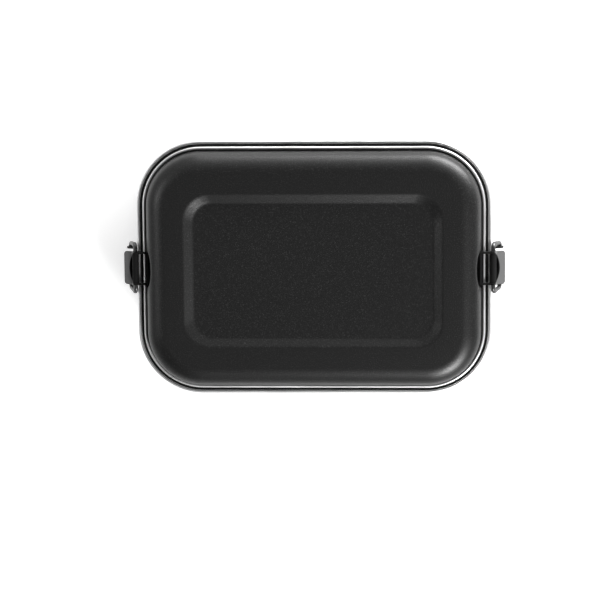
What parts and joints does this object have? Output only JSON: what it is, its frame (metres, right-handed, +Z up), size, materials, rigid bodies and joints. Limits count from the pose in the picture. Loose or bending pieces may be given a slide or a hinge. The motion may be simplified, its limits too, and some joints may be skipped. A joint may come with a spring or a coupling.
{
  "type": "metal lunch box",
  "caption": "Rounded rectangular steel lunch box with a domed clip-on lid, silicone seal and a wire-and-lever clip on each end.",
  "frame": {"origin": "on the surface the box rests on, under the middle of its outline", "axes": "+Z up through the lid, +X along the box from one clip to the other, +Y across the box"},
  "size_m": [0.194, 0.13, 0.062],
  "materials": {
    "body": "matte black powder coat, bare polished rim, bare brushed inside",
    "lid": "matte black powder coat with fine grain, bare polished bead",
    "seal": "matte silicone",
    "bracket": "satin black",
    "lever": "satin black",
    "wire": "dark satin"
  },
  "bodies": {
    "box": {"body_shell": "body", "bracket_left": "bracket", "bracket_right": "bracket"},
    "lid": {"lid_shell": "lid", "seal": "seal"},
    "bail_left": {"bail_left": "wire"},
    "bail_right": {"bail_right": "wire"},
    "lever_left": {"lever_left": "lever"},
    "lever_right": {"lever_right": "lever"}
  },
  "joints": [
    {"name": "bail_left_swing", "type": "hinge", "parent": "box", "child": "bail_left", "pos_m": [-0.0943, 0, 0.0406], "axis": [0, -1, 0], "range_deg": [0, 170]},
    {"name": "lever_left_tilt", "type": "hinge", "parent": "bail_left", "child": "lever_left", "pos_m": [-0.0909, 0, 0.0516], "axis": [0, 1, 0], "range_deg": [0, 34]},
    {"name": "bail_right_swing", "type": "hinge", "parent": "box", "child": "bail_right", "pos_m": [0.0943, 0, 0.0406], "axis": [0, 1, 0], "range_deg": [0, 170]},
    {"name": "lever_right_tilt", "type": "hinge", "parent": "bail_right", "child": "lever_right", "pos_m": [0.0909, 0, 0.0516], "axis": [0, -1, 0], "range_deg": [0, 34]},
    {"name": "lid_lift", "type": "slide", "parent": "box", "child": "lid", "axis": [0, 0, 1], "range_m": [0, 0.01246]}
  ],
  "couplings": [
    {"joint": "bail_left_swing", "follows": "lid_lift", "rad_per_m": 238.09},
    {"joint": "bail_right_swing", "follows": "lid_lift", "rad_per_m": 238.09},
    {"joint": "lever_left_tilt", "follows": "lid_lift", "rad_per_m": 47.619},
    {"joint": "lever_right_tilt", "follows": "lid_lift", "rad_per_m": 47.619}
  ]
}
